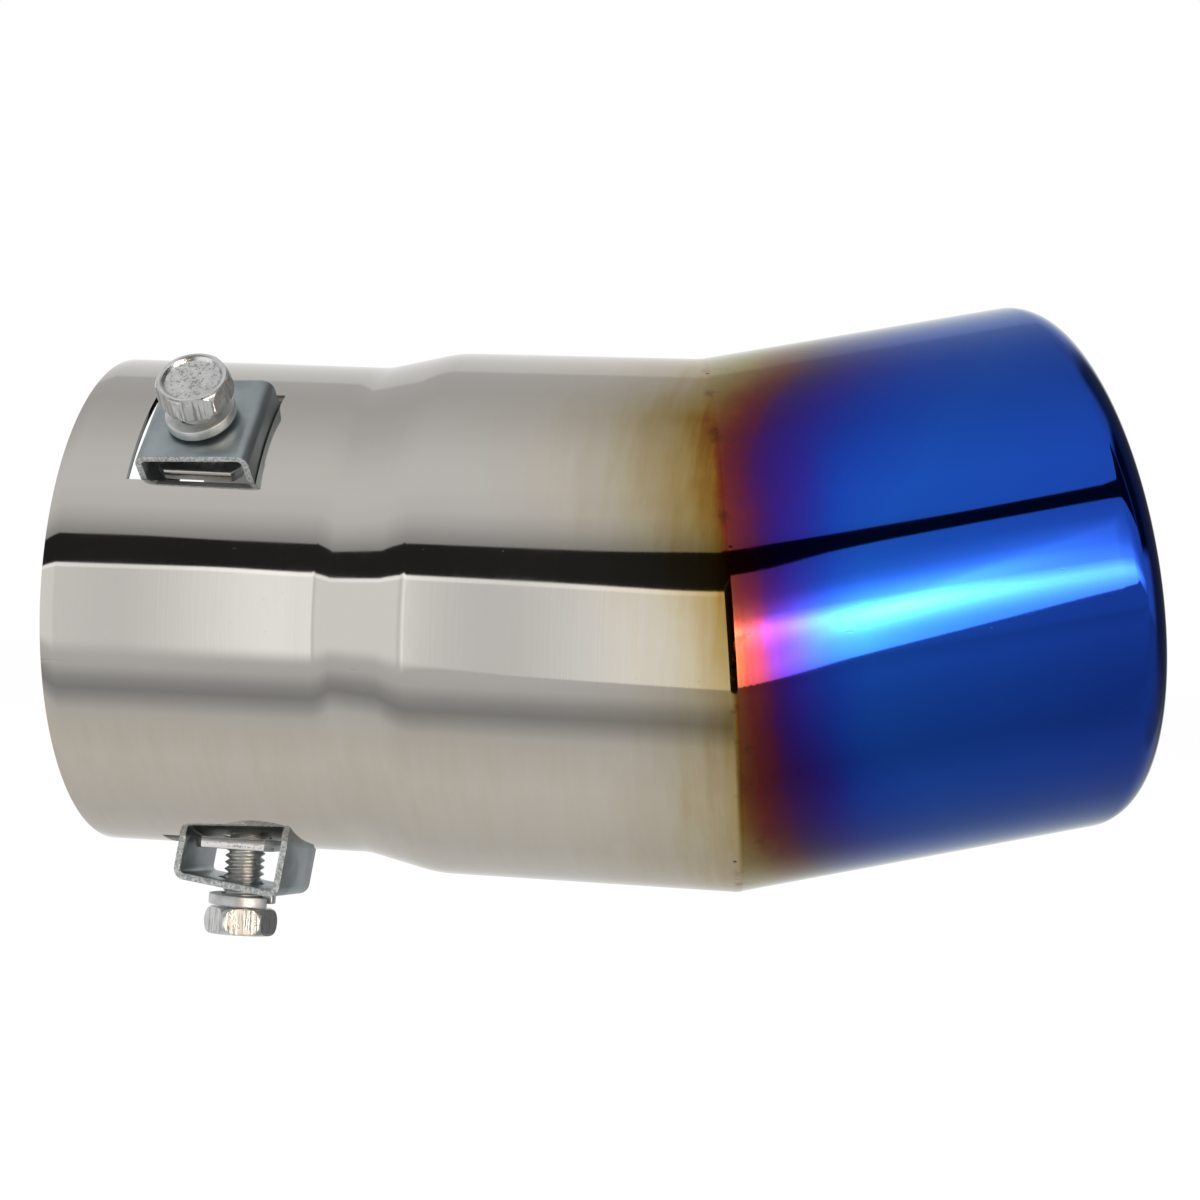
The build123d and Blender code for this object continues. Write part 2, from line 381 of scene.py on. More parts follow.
def slot_place(tube, angle):
    """A slot's own place on the inlet: X along the tube, Z out of it."""
    out = Vector((0, -math.sin(math.radians(angle)), math.cos(math.radians(angle))))
    return frame_matrix(Vector((tube.slot_centre, 0, 0)) + out * tube.inlet_diameter / 2, (1, 0, 0), out)


def bolt_place(tube, clamp, drop=0.0):
    """A place on a clamp's bolt, from its seat down: X along the tube, Z towards the bolt's head."""
    seat = Matrix.Translation(Vector(clamp["seat"]) * MM)
    lean = Matrix.Rotation(math.radians(clamp["lean"]), 4, "Y")
    return slot_place(tube, clamp["angle"]) @ seat @ lean @ Matrix.Translation((0, 0, -drop * MM))


# Mesh helpers


def finish_piece(bm, name, materials, nodes, sharp=SHARP):
    """Makes an object of a mesh, smooth but for its sharp edges, and hands it to the frame."""
    for edge in bm.edges:
        edge.smooth = len(edge.link_faces) == 2 and edge.calc_face_angle(0.0) < sharp
    for face in bm.faces:
        face.smooth = True
    piece = new_object(bm, name, materials)
    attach(piece, "root")
    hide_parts(*nodes)


def new_object(bm, name, materials):
    """Puts a mesh in the scene as an object with its materials."""
    mesh = bpy.data.meshes.new(name)
    bm.to_mesh(mesh)
    bm.free()
    thing = bpy.data.objects.new(name, mesh)
    bpy.context.scene.collection.objects.link(thing)
    for material in materials:
        mesh.materials.append(material)
    return thing


def chain(bm, points, closed=False):
    """A string of edges through points in the XZ plane."""
    verts = [bm.verts.new((x, 0, z)) for x, z in points]
    edges = [bm.edges.new(pair) for pair in zip(verts, verts[1:])]
    if closed:
        edges.append(bm.edges.new((verts[-1], verts[0])))
    return verts + edges


def spin_round(bm, geometry, axis, steps):
    """Turns a string of edges once round an axis and closes it."""
    bmesh.ops.spin(
        bm, geom=geometry, cent=(0, 0, 0), axis=axis, angle=math.tau, steps=steps, use_merge=True
    )
    bmesh.ops.remove_doubles(bm, verts=bm.verts, dist=1e-7)
    bmesh.ops.recalc_face_normals(bm, faces=bm.faces)


def face_outwards(bm):
    """Turns an open skin round the X axis so that its faces look outwards."""
    if sum(face.normal.dot((0, *face.calc_center_median()[1:])) for face in bm.faces) < 0:
        bmesh.ops.reverse_faces(bm, faces=bm.faces)


def fill_holes(bm):
    """Closes each open end with one flat face."""
    bmesh.ops.holes_fill(bm, edges=[edge for edge in bm.edges if edge.is_boundary], sides=0)


def cut(bm, origin, normal, drop=True, geometry=None):
    """Cuts a mesh at a plane, and drops what lies past it."""
    if geometry is None:
        geometry = bm.verts[:] + bm.edges[:] + bm.faces[:]
    bmesh.ops.bisect_plane(
        bm, geom=geometry, dist=1e-8, plane_co=origin, plane_no=normal, clear_outer=drop, clear_inner=False
    )


def bevel(bm, edges, width, segments):
    """Rounds some edges."""
    bmesh.ops.bevel(
        bm, geom=edges, offset=width, offset_type="OFFSET", segments=segments, profile=0.5,
        affect="EDGES", material=-1, clamp_overlap=True,
    )


def break_sharp_edges(bm, width, segments=2, verts=None):
    """Rounds each edge that turns by more than 50 degrees, among some vertices or all."""
    limit = math.radians(50)
    edges = [
        e for e in bm.edges
        if len(e.link_faces) == 2 and e.calc_face_angle(0.0) > limit
        and (verts is None or (e.verts[0] in verts and e.verts[1] in verts))
    ]
    bevel(bm, edges, width, segments)


def arc_between(before, corner, after, radius, steps):
    """Points of the arc that rounds a corner between two straight runs."""
    corner, before, after = Vector(corner), Vector(before), Vector(after)
    into = (before - corner).normalized()
    out_of = (after - corner).normalized()
    half = into.angle(out_of) / 2
    middle = corner + (into + out_of).normalized() * radius / math.sin(half)
    start = corner + into * radius / math.tan(half)
    end = corner + out_of * radius / math.tan(half)
    sweep = (start - middle).angle_signed(end - middle)
    points = []
    for index in range(steps + 1):
        turn = Matrix.Rotation(-sweep * index / steps, 2)
        points.append(tuple(middle + turn @ (start - middle)))
    return points


def arc_round(middle, radius, first, last, steps):
    """Points of the arc round a middle between two angles, which turn from out towards along."""
    angles = [first + (last - first) * index / steps for index in range(steps + 1)]
    return [tuple(middle + radius * Vector((math.sin(angle), math.cos(angle)))) for angle in angles]


def subdivided(points, step):
    """The same line with a point at least every step."""
    line = [points[0]]
    for start, end in zip(points, points[1:]):
        length = (Vector(end) - Vector(start)).length
        parts = max(1, math.ceil(length / step))
        line += [tuple(Vector(start).lerp(Vector(end), index / parts)) for index in range(1, parts + 1)]
    return line


def mark_local(bm, place):
    """Stores where each vertex lies in a clamp part's own place."""
    back = place.inverted()
    layer = bm.verts.layers.float_vector.new("local")
    for vert in bm.verts:
        vert[layer] = back @ vert.co


def node_copy(node):
    """A merged copy of a CAD node's mesh, its flat faces made whole."""
    bm = bmesh.new()
    bm.from_mesh(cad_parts[node].data)
    bmesh.ops.remove_doubles(bm, verts=bm.verts, dist=2e-7)
    bmesh.ops.dissolve_limit(
        bm, angle_limit=math.radians(0.5), verts=bm.verts, edges=bm.edges, use_dissolve_boundaries=False
    )
    return bm


# Metals

# How the tint's place changes with the height of a point above the inlet's axis, all in millimetres: on
# the inlet by a factor, a shift and a least value, and on the outlet by a shift
INLET_STRETCH = ((-36, 0.6), (-32, 0.6), (-23, 0.8), (-12, 1.3), (-2, 1.5), (9, 1.2), (16, 1.0), (38, 1.0))
INLET_SHIFT = (
    (-36, -10.0), (-32, -9.5), (-23, -8.0), (-12, -5.5), (-2, -4.0), (9, -2.0), (16, -1.0), (28, -1.0),
    (34, -9.0), (38, -11.0),
)
INLET_FLOOR = ((-36, -24.0), (-17, -23.0), (-12, -36.0), (36, -36.0))
OUTLET_SHIFT = (
    (-38, -9.0), (-32, -6.0), (-27, -3.0), (-22.5, -2.0), (-11.5, -1.0), (1.5, 0.3), (21, 0.5), (26, -0.6),
    (31, -3.6), (36, -9.0), (46, -14.0),
)
# Two more shifts on the outlet, and the distances past the mitre over which each sets in
OUTLET_JUMP = ((-20, 0.0), (-11.5, 4.0), (1.5, 4.0), (10, 3.0), (20, 0.0))
JUMP_START = (3.0, 12.0)
OUTLET_REACH = ((-30, 0.0), (-22, 5.0), (-12, 8.0), (14, 8.0), (22, 3.0), (28, 0.0))
REACH_START = (11.0, 20.0)
# Colour of the steel by the distance along the tint in millimetres, from bare through straw to blue
TINT_STOPS = (
    (-36.0, (0.62, 0.597, 0.56)),
    (-24.0, (0.61, 0.565, 0.495)),
    (-16.0, (0.545, 0.49, 0.385)),
    (-13.0, (0.51, 0.445, 0.3)),
    (-10.0, (0.455, 0.36, 0.215)),
    (-7.5, (0.41, 0.312, 0.149)),
    (-5.0, (0.36, 0.25, 0.084)),
    (-2.5, (0.29, 0.155, 0.03)),
    (-0.7, (0.23, 0.07, 0.015)),
    (1.5, (0.178, 0.02, 0.018)),
    (3.6, (0.124, 0.008, 0.05)),
    (5.6, (0.062, 0.005, 0.134)),
    (7.7, (0.039, 0.006, 0.204)),
    (9.7, (0.028, 0.01, 0.28)),
    (11.8, (0.021, 0.017, 0.336)),
    (14.0, (0.012, 0.028, 0.386)),
    (16.0, (0.007, 0.039, 0.426)),
    (18.0, (0.004, 0.047, 0.466)),
    (22.0, (0.003, 0.062, 0.515)),
    (30.0, (0.003, 0.081, 0.535)),
    (50.0, (0.003, 0.067, 0.506)),
    (64.0, (0.003, 0.054, 0.456)),
)
# Where the painted dark reflection over the tint sets in on the rolled rim and is full, in metres before the
# outlet's end
RIM_SHADE_START, RIM_SHADE_END = 0.0036, 0.0004
# Pin-holes along the weld, coloured near-black as painted shade over a dent, and the radii at which they
# start to close and are closed, in metres
WELD_PITS = (
    (0.09534, -0.0367, 0.01076), (0.09532, -0.03734, 0.00828), (0.09643, -0.03795, -0.00481),
    (0.0977, -0.03671, -0.01073), (0.08818, -0.01549, 0.03497), (0.09561, -0.02118, -0.03185),
)
PIT_EDGE = (0.0001, 0.00042)
# Noise scales along X, Y and Z: the tubes' brushing, scratches and tint streaks, and the inner walls' grain
BRUSHING = (2600.0, 34.0, 34.0)
SCRATCHES = (60.0, 900.0, 900.0)
TINT_STREAKS = (420.0, 60.0, 60.0)
INNER_GRAIN = (900.0, 60.0, 60.0)
# The same in a clamp part's own place: drag marks on the heads, and streaks and lines on a sheared edge
DRAG_MARKS = (2300.0, 2300.0, 110.0)
SHEAR_STREAKS = (900.0, 900.0, 300.0)
SHEAR_LINES = (120.0, 120.0, 2600.0)
# Depth of the relief on the tubes and on the clamps' plate, in metres
SHEET_DEPTH = 0.0002
PLATE_DEPTH = 0.0001


def mitre_distance(place, tube):
    """How far along the tubes a point lies past the mitre, in millimetres."""
    normal = mitre_normal(tube)
    return (place.dot(normal) - mitre_centre(tube).dot(normal)) / (normal.x * MM)


def tint_distance(place, along):
    """Where a point lies along the heat tint, in millimetres from the mitre on an even tint."""
    height = place.axes()[2] / MM
    inlet = along * height.curve(INLET_STRETCH) + height.curve(INLET_SHIFT)
    inlet = inlet.math("MAXIMUM", inlet, height.curve(INLET_FLOOR))
    outlet = along + height.curve(OUTLET_SHIFT) + height.curve(OUTLET_JUMP) * along.step(*JUMP_START)
    outlet = outlet + height.curve(OUTLET_REACH) * along.step(*REACH_START)
    past = along.step(-0.6, 0.4)
    wander = (place.noise(70.0, 4.0) - 0.5) * 3.0 + (place.noise(420.0) - 0.5) * 1.4
    streak = (place.noise(TINT_STREAKS, 4.0) - 0.5) * (9.0 - past * 7.5)
    return laid_over(inlet, past, outlet) + wander + streak


def weld_pits(place):
    """1 inside each pin-hole and 0 elsewhere."""
    pits = 0.0
    for spot in WELD_PITS:
        pits = (1 - place.away_from(spot).step(*PIT_EDGE)) + pits
    return pits


def steel_finish(shader, place, tube, finish, brushing):
    """Polished sheet steel with a heat tint, fine brushing round the tube, smudges and scratches."""
    along = mitre_distance(place, tube)
    tint = tint_distance(place, along).ramp(TINT_STOPS)
    axis = outlet_direction(tube)
    past_mitre = place.dot(axis) - mitre_centre(tube).dot(axis)
    # Mask of the rolled rim's front, where the painted dark reflection is laid over the tint
    rim = past_mitre.step(tube.outlet_length - RIM_SHADE_START, tube.outlet_length - RIM_SHADE_END)
    near_weld = along.step(-1.2, -0.2) * (1 - along.step(1.0, 6.0))
    oxide = place.noise(260.0, 5.0, 0.65).step(0.54, 0.7) * near_weld
    pits = weld_pits(place)
    # Painted dark reflection on the rolled rim's front, over the heat tint
    shade = mix_colour(rim * 0.8, tint, finish.rim)
    shade = mix_colour(oxide * 0.45, shade, finish.oxide)
    # Painted shade in the weld's pin-holes
    shade = mix_colour(pits, shade, finish.pit_shade)

    smudge = place.noise(38.0, 5.0, 0.62)
    grain = place.noise(BRUSHING, 3.0, 0.6) * brushing
    speck = place.noise(1100.0, 1.0).step(0.79, 0.8)
    scratch = place.noise(SCRATCHES, 2.0, 0.5).step(0.74, 0.8)
    wave = along * 7.0
    ripple = wave.math("SINE", wave) * along.step(0.3, 0.9) * (1 - along.step(1.6, 4.0))
    roughness = 0.025 + smudge.step(0.5, 0.8) * 0.04 + grain + oxide * 0.2
    height = grain * 4.0 + smudge * 0.4 - scratch * 0.5 + speck * 3.0 + ripple * 0.04 - pits * 6.0
    dress(shader, shade, roughness, height, 0.05, SHEET_DEPTH)


def polished_steel(tube, finish):
    """The inlet's outer skin."""
    material, shader, place = new_metal("polished steel")
    steel_finish(shader, place, tube, finish, 0.03)
    return material


def tinted_steel(tube, finish):
    """The outlet's outer skin, under a thin clear film of oxide."""
    material, shader, place = new_metal("heat-tinted steel")
    steel_finish(shader, place, tube, finish, 0.012)
    shader.inputs["Specular Tint"].default_value = (0.85, 0.95, 0.85, 1.0)
    shader.inputs["Coat Weight"].default_value = 0.6
    shader.inputs["Coat IOR"].default_value = 1.3
    shader.inputs["Coat Roughness"].default_value = 0.05
    return material


def weld_metal(tube, finish):
    """The ground weld at the mitre, as bright as the sheet."""
    material, shader, place = new_metal("ground weld")
    steel_finish(shader, place, tube, finish, 0.05)
    return material


def inner_steel(finish):
    """The tubes' unpolished inner walls."""
    material, shader, place = new_metal("unpolished inner steel")
    grain = place.noise(INNER_GRAIN, 4.0, 0.6)
    cloud = place.noise(55.0, 4.0).step(0.3, 0.7)
    shade = mix_colour(cloud, finish.inside, dimmed(finish.inside, 0.78))
    dress(shader, shade, 0.3 + grain * 0.18, grain, 0.12, SHEET_DEPTH)
    return material


def dull_zinc(finish):
    """The brackets' bluish zinc plate, brighter and rougher on their sheared edges."""
    material, shader, place = new_metal("dull zinc plate")
    edge = place.attribute("cut", "Fac")
    cloud = place.noise(260.0, 4.0)
    speck = place.noise(2600.0, 3.0, 0.7)
    shade = mix_colour(cloud.step(0.35, 0.7), finish.zinc, dimmed(finish.zinc, 0.84))
    shade = mix_colour(edge * speck.step(0.36, 0.6), shade, finish.cut_zinc)
    roughness = 0.34 + cloud * 0.12 - speck.step(0.6, 0.75) * 0.08 + edge * 0.12
    dress(shader, shade, roughness, speck * (0.3 + edge), 0.18, PLATE_DEPTH)
    return material


def bright_zinc(finish):
    """The bolts' and washers' brighter zinc plate, with drag marks along the heads' flanks."""
    material, shader, place = new_metal("bright zinc plate")
    local = place.attribute("local", "Vector")
    above_seat = local.axes()[2] / MM
    flank = above_seat.step(0.1, 0.3) * (1 - above_seat.step(3.6, 3.9))
    below_head = 1 - above_seat.step(-0.2, 0.0)
    cloud = place.noise(420.0, 4.0)
    drag = local.noise(DRAG_MARKS, 3.0, 0.65)
    shade = mix_colour(cloud.step(0.3, 0.7), finish.bright_zinc, dimmed(finish.bright_zinc, 0.8))
    shade = mix_colour(drag.step(0.52, 0.6) * flank * 0.62, shade, finish.rubbed)
    roughness = 0.2 + cloud * 0.16 + drag.step(0.54, 0.64) * flank * 0.15 + below_head * 0.2
    dress(shader, shade, roughness, place.noise(1500.0) * 0.6 + drag * flank * 2.0, 0.2, PLATE_DEPTH)
    return material


def sheared_steel(finish):
    """The nut plates' zinc faces and sheared edges."""
    material, shader, place = new_metal("sheared zinc-plated steel")
    local = place.attribute("local", "Vector")
    streak = local.noise(SHEAR_STREAKS)
    broken = (local.axes()[2] / MM + (streak - 0.5) * 0.6).step(-1.1, -0.8)
    speck = place.noise(1600.0, 4.0, 0.7)
    lines = local.noise(SHEAR_LINES, 3.0, 0.6)
    shade = mix_colour(broken, dimmed(finish.sheared, 0.72), finish.sheared)
    shade = mix_colour((speck * 0.5 + lines * 0.5).step(0.54, 0.62) * 0.7, shade, finish.torn)
    dress(shader, shade, 0.36 - broken * 0.14, streak + lines, 0.3, PLATE_DEPTH)
    return material


# Pieces


class EXHAUST_OT_inlet_tube(bpy.types.Operator):
    """Spin the inlet's outer skin, cut its mitre and slots, and give it its wall."""

    bl_idname = "exhaust_tip.inlet_tube"
    bl_label = "Inlet Tube"

    def execute(self, context):
        tube, finish = context.scene.tip_tube, context.scene.tip_finish
        bm = bmesh.new()
        line = subdivided(self.outline(tube), tube.ring_step)
        spin_round(bm, chain(bm, line), (1, 0, 0), tube.turn_steps)
        face_outwards(bm)
        normal, middle = mitre_normal(tube), mitre_centre(tube)
        cut(bm, middle - normal * tube.weld_width / 2, normal)
        for clamp in CLAMPS.values():
            self.open_slot(bm, tube, slot_place(tube, clamp["angle"]))
        bmesh.ops.solidify(bm, geom=bm.faces[:], thickness=tube.wall)
        for face in bm.faces:
            centre = face.calc_center_median()
            out = Vector((0, centre.y, centre.z)).normalized()
            looks_in = face.normal.dot(out) <= -0.3
            face.material_index = 1 if looks_in else 0
        free = {v for v in bm.verts if (v.co - middle).dot(normal) < -tube.weld_width}
        break_sharp_edges(bm, tube.edge_break, verts=free)
        skins = [polished_steel(tube, finish), inner_steel(finish)]
        finish_piece(bm, "inlet_skin", skins, ["inlet_tube"])
        return {"FINISHED"}

    def outline(self, tube):
        """The inlet's outside from its open end to past the mitre, as along and out."""
        start = (0, tube.inlet_diameter / 2)
        step_start = (tube.neck_length, tube.neck_diameter / 2)
        step_end = (tube.neck_length + tube.flare_length, tube.body_diameter / 2)
        end = (tube.inlet_length + tube.overrun, tube.mitre_diameter / 2)
        return [
            start,
            *arc_between(start, step_start, step_end, tube.neck_blend, tube.neck_steps),
            *arc_between(step_start, step_end, end, tube.body_blend, tube.body_steps),
            end,
        ]

    def open_slot(self, bm, tube, place):
        """Cuts the skin at a slot's four sides and takes out what lies between them."""
        back, turn = place.inverted(), place.to_3x3()
        half_length, half_width = tube.slot_length / 2, tube.slot_width / 2
        sides = (
            ((half_length, 0, 0), (1, 0, 0)), ((-half_length, 0, 0), (1, 0, 0)),
            ((0, half_width, 0), (0, 1, 0)), ((0, -half_width, 0), (0, 1, 0)),
        )
        for point, across in sides:
            near = [f for f in bm.faces if (back @ f.calc_center_median()).length < tube.slot_length]
            verts, edges = {v for f in near for v in f.verts}, {e for f in near for e in f.edges}
            cut(bm, place @ Vector(point), turn @ Vector(across), False, [*verts, *edges, *near])
        inside = []
        for face in bm.faces:
            local = back @ face.calc_center_median()
            on_this_side = local.z > -tube.inlet_diameter / 4
            if on_this_side and abs(local.x) < half_length and abs(local.y) < half_width:
                inside.append(face)
        bmesh.ops.delete(bm, geom=inside, context="FACES")


class EXHAUST_OT_outlet_tube(bpy.types.Operator):
    """Spin the outlet with its rolled rim and cut it at the mitre."""

    bl_idname = "exhaust_tip.outlet_tube"
    bl_label = "Outlet Tube"

    def execute(self, context):
        tube, finish = context.scene.tip_tube, context.scene.tip_finish
        bm = bmesh.new()
        spin_round(bm, chain(bm, self.section(tube), closed=True), (1, 0, 0), tube.turn_steps)
        axis, origin, normal = outlet_direction(tube), mitre_centre(tube), mitre_normal(tube)
        bm.transform(frame_matrix(origin, axis, axis.cross((0, 0, 1))))
        cut(bm, origin + normal * tube.weld_width / 2, -normal)
        bmesh.ops.bridge_loops(bm, edges=[e for e in bm.edges if e.is_boundary])
        bmesh.ops.recalc_face_normals(bm, faces=bm.faces)
        rim_start, foot = self.rim_start(tube), self.foot_radius(tube)
        for face in bm.faces:
            centre = face.calc_center_median() - origin
            along = centre.dot(axis)
            out = centre - axis * along
            looks_in = face.normal.dot(out.normalized()) < -0.2
            inner_wall = looks_in and along < rim_start and out.length > foot - 2 * tube.wall
            face.material_index = 1 if inner_wall else 0
        skins = [tinted_steel(tube, finish), inner_steel(finish)]
        finish_piece(bm, "outlet_skin", skins, ["outlet_tube"])
        return {"FINISHED"}

    def rim_start(self, tube):
        """How far past the mitre the rim begins to roll over."""
        return tube.outlet_length - tube.rim_radius

    def foot_radius(self, tube):
        """Outside radius of the outlet's slight cone where it is drawn past the mitre."""
        slope = (tube.outlet_diameter - tube.mitre_diameter) / 2 / self.rim_start(tube)
        return tube.mitre_diameter / 2 - slope * tube.overrun

    def section(self, tube):
        """The outlet's wall, out along its outside, round the rim and back along its inside."""
        rim_start, foot, radius = self.rim_start(tube), self.foot_radius(tube), tube.outlet_diameter / 2
        curl = tube.rim_curl
        middle = Vector((rim_start, radius - tube.rim_radius))
        lip_middle = middle + (tube.rim_radius - tube.wall / 2) * Vector((math.sin(curl), math.cos(curl)))
        outside = [(-tube.overrun, foot), (rim_start, radius)]
        inside = [(rim_start, radius - tube.wall), (-tube.overrun, foot - tube.wall)]
        return [
            *subdivided(outside, tube.ring_step)[:-1],
            *arc_round(middle, tube.rim_radius, 0, curl, tube.rim_steps),
            *arc_round(lip_middle, tube.wall / 2, curl, curl + math.pi, tube.lip_steps)[1:-1],
            *arc_round(middle, tube.rim_radius - tube.wall, curl, 0, tube.rim_steps),
            *subdivided(inside, tube.ring_step)[1:],
        ]


class EXHAUST_OT_weld(bpy.types.Operator):
    """Lay the narrow weld round the mitre, with its crease rounded."""

    bl_idname = "exhaust_tip.weld"
    bl_label = "Weld"

    def execute(self, context):
        tube, finish = context.scene.tip_tube, context.scene.tip_finish
        length, radius = tube.inlet_length, tube.mitre_diameter / 2
        bm = bmesh.new()
        run = [(length - tube.overrun * 2, radius), (length + tube.overrun, radius)]
        spin_round(bm, chain(bm, run), (1, 0, 0), tube.turn_steps)
        normal = mitre_normal(tube)
        place = frame_matrix(mitre_centre(tube), normal, normal.cross((0, 1, 0)))
        bm.transform(place.inverted())
        cut(bm, (0, 0, 0), (1, 0, 0))
        bmesh.ops.mirror(bm, geom=bm.verts[:] + bm.edges[:] + bm.faces[:], merge_dist=1e-6, axis="X")
        bmesh.ops.recalc_face_normals(bm, faces=bm.faces)
        face_outwards(bm)
        half = tube.weld_width / 2
        crease = [e for e in bm.edges if max(abs(v.co.x) for v in e.verts) < 1e-6]
        bevel(bm, crease, half * WELD_REACH, tube.weld_steps)
        cut(bm, (half, 0, 0), (1, 0, 0))
        cut(bm, (-half, 0, 0), (-1, 0, 0))
        bmesh.ops.solidify(bm, geom=bm.faces[:], thickness=tube.wall)
        bm.transform(place)
        finish_piece(bm, "weld_bead", [weld_metal(tube, finish)], ["mitre_weld"])
        return {"FINISHED"}


class EXHAUST_OT_brackets(bpy.types.Operator):
    """Round the folded brackets' edges and mark the faces that were sheared."""

    bl_idname = "exhaust_tip.brackets"
    bl_label = "Brackets"

    def execute(self, context):
        tube, hardware = context.scene.tip_tube, context.scene.tip_hardware
        plate = dull_zinc(context.scene.tip_finish)
        for name, clamp in CLAMPS.items():
            bm = node_copy(name + "_bracket")
            round_tube = slot_place(tube, clamp["angle"]).to_3x3().col[1]
            edge = bm.faces.layers.float.new("cut")
            for face in bm.faces:
                face[edge] = 1.0 if abs(face.normal.dot(round_tube)) > 0.9 else 0.0
            break_sharp_edges(bm, hardware.edge_break)
            finish_piece(bm, name + "_channel", [plate], [name + "_bracket"])
        return {"FINISHED"}


class EXHAUST_OT_bolts(bpy.types.Operator):
    """Give each bolt its head and a real thread."""

    bl_idname = "exhaust_tip.bolts"
    bl_label = "Bolts"

    def execute(self, context):
        tube, hardware = context.scene.tip_tube, context.scene.tip_hardware
        plate = bright_zinc(context.scene.tip_finish)
        for name, clamp in CLAMPS.items():
            place = bolt_place(tube, clamp)
            bm = self.hex_head(hardware, math.radians(clamp["flats"]))
            self.add_thread(bm, hardware)
            bm.transform(place)
            mark_local(bm, place)
            finish_piece(bm, name + "_hex_bolt", [plate], [name + "_bolt"], BOLT_SHARP)
        return {"FINISHED"}

    def hex_head(self, hardware, turn):
        """Spins the head's barrel and cuts its six flats."""
        bm = bmesh.new()
        line = [(out * MM, up * MM) for out, up in HEAD_LINE]
        spin_round(bm, chain(bm, line), (0, 0, 1), hardware.head_steps)
        for index in range(6):
            angle = turn + math.tau * index / 6
            out = Vector((math.cos(angle), math.sin(angle), 0))
            cut(bm, out * hardware.across_flats / 2, out)
            fill_holes(bm)
        bmesh.ops.recalc_face_normals(bm, faces=bm.faces)
        return bm

    def add_thread(self, bm, hardware):
        """Winds one V of thread down the shank."""
        new = bmesh.new()
        pitch, crest, root = hardware.thread_pitch, hardware.thread_crest, hardware.thread_root
        bottom = -hardware.bolt_length - pitch
        turns = math.ceil((hardware.bolt_length + pitch) / pitch) + 1
        line = [(root + (crest - root) * rise, bottom + pitch * share) for share, rise in THREAD_LINE]
        steps = hardware.turn_steps
        bmesh.ops.spin(
            new, geom=chain(new, line), cent=(0, 0, 0), axis=(0, 0, 1), dvec=(0, 0, pitch / steps),
            angle=math.tau * turns, steps=steps * turns,
        )
        bmesh.ops.remove_doubles(new, verts=new.verts, dist=1e-6)
        cut(new, (0, 0, -hardware.bolt_length), (0, 0, -1))
        cut(new, (0, 0, 0), (0, 0, 1))
        for vert in new.verts:
            self.trim(vert, hardware)
        fill_holes(new)
        bmesh.ops.recalc_face_normals(new, faces=new.faces)
        mesh = bpy.data.meshes.new("thread")
        new.to_mesh(mesh)
        new.free()
        bm.from_mesh(mesh)
        bpy.data.meshes.remove(mesh)

    def trim(self, vert, hardware):
        """Brings one point of the thread down to the plain neck or to the chamfered tip."""
        crest, root = hardware.thread_crest, hardware.thread_root
        out = Vector((vert.co.x, vert.co.y))
        above_tip = vert.co.z + hardware.bolt_length
        limit = root + (crest - root) * min(1.0, above_tip / hardware.tip_length)
        if vert.co.z > -hardware.plain_length:
            vert.co.x, vert.co.y = out.normalized() * (crest + root) / 2
        elif out.length > limit:
            vert.co.x, vert.co.y = out.normalized() * limit


class EXHAUST_OT_washers(bpy.types.Operator):
    """Round the split washers' edges."""

    bl_idname = "exhaust_tip.washers"
    bl_label = "Split Washers"

    def execute(self, context):
        tube, hardware = context.scene.tip_tube, context.scene.tip_hardware
        plate = bright_zinc(context.scene.tip_finish)
        for name, clamp in CLAMPS.items():
            bm = node_copy(name + "_lock_washer")
            place, mirror = bolt_place(tube, clamp), clamp["washer_mirror"]
            if mirror is not None:
                self.flip(bm, place @ Matrix.Rotation(math.radians(mirror), 4, "Z"))
            break_sharp_edges(bm, hardware.washer_break, segments=3)
            mark_local(bm, place)
            finish_piece(bm, name + "_split_washer", [plate], [name + "_lock_washer"])
        return {"FINISHED"}

    def flip(self, bm, place):
        """Mirrors a washer across the XZ plane of a place, with its faces still outwards."""
        bm.transform(place @ Matrix.Scale(-1, 4, (0, 1, 0)) @ place.inverted())
        bmesh.ops.reverse_faces(bm, faces=bm.faces)


class EXHAUST_OT_nut_plates(bpy.types.Operator):
    """Round the nut plates' edges."""

    bl_idname = "exhaust_tip.nut_plates"
    bl_label = "Nut Plates"

    def execute(self, context):
        tube, hardware = context.scene.tip_tube, context.scene.tip_hardware
        plate = sheared_steel(context.scene.tip_finish)
        for name, clamp in CLAMPS.items():
            bm = node_copy(name + "_nut_plate")
            break_sharp_edges(bm, hardware.edge_break)
            mark_local(bm, bolt_place(tube, clamp, clamp["plate_drop"]))
            finish_piece(bm, name + "_tapped_plate", [plate], [name + "_nut_plate"])
        return {"FINISHED"}


# Studio

# Brightness of the room round each tube, by the angle up from the viewer's side
INLET_ROOM = (
    (-180, 0.9), (-150, 0.66), (-118, 0.63), (-98, 0.68), (-78, 0.72), (-60, 0.66), (-53, 0.61), (-47, 0.42),
    (-42, 0.3), (-37, 0.38), (-31, 0.58), (-26, 0.62), (29, 0.33), (33, 0.42), (38, 0.56), (45, 0.7),
    (57, 0.75), (66, 0.74), (75, 0.71), (94, 0.59), (112, 0.52), (131, 0.54), (133.5, 0.69), (160, 0.84),
    (180, 0.92),
)
OUTLET_ROOM = (
    (-180, 0.8), (-157, 0.5), (-127, 0.4), (-95, 0.43), (-75, 0.35), (-50, 0.44), (-30, 0.56), (-21, 0.5),
    (-19, 0.6), (38, 0.7), (42, 0.8), (54, 0.82), (70, 0.72), (92, 0.53), (112, 0.4), (127, 0.46),
    (130, 0.57), (140, 0.63), (156, 0.85), (180, 0.9),
)
